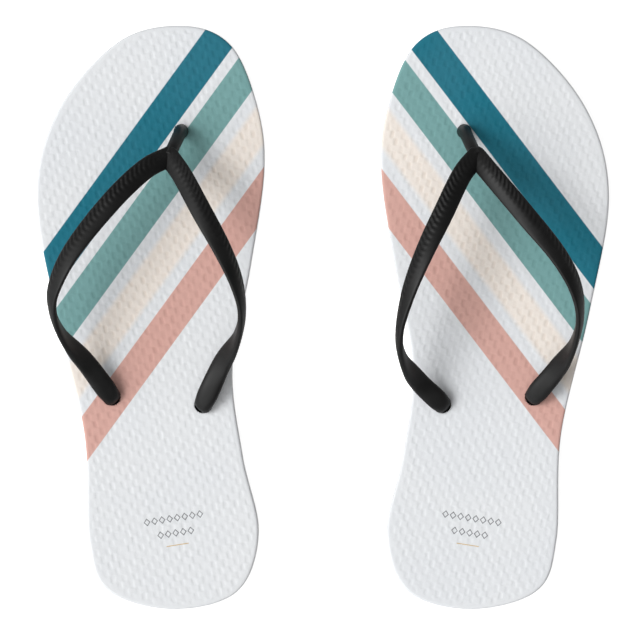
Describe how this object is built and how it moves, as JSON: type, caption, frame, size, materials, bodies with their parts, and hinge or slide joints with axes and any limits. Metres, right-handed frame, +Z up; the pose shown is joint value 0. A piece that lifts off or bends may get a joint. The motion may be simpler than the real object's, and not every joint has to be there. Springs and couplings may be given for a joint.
{
  "type": "flip flops",
  "caption": "Pair of flat flip flops with a laminated sole of three glued layers, a printed footbed and a moulded Y-shaped thong strap held by plugs under the sole.",
  "frame": {"origin": "on the ground midway between the two sandals, at the middle of their length", "axes": "+Y from the heels towards the toes, +X towards the wearer's right, +Z up from the ground"},
  "size_m": [0.2552, 0.26, 0.0562],
  "materials": {
    "footbed": "matt white expanded rubber sheet with raised pebble grain and printed diagonal stripes",
    "midsole": "matt white closed-cell foam with a die-cut edge",
    "outsole": "matt pale grey solid rubber with moulded zigzag tread",
    "strap": "soft satin black moulded rubber with ribs along the arms"
  },
  "bodies": {
    "left_sandal": {"left_footbed": "footbed", "left_midsole": "midsole", "left_outsole": "outsole", "left_strap": "strap"},
    "right_sandal": {"right_footbed": "footbed", "right_midsole": "midsole", "right_outsole": "outsole", "right_strap": "strap"}
  },
  "joints": [
    {"name": "right_sandal_lift", "type": "slide", "parent": "left_sandal", "child": "right_sandal", "axis": [0, 0, 1], "range_m": [0, 0.15]}
  ]
}
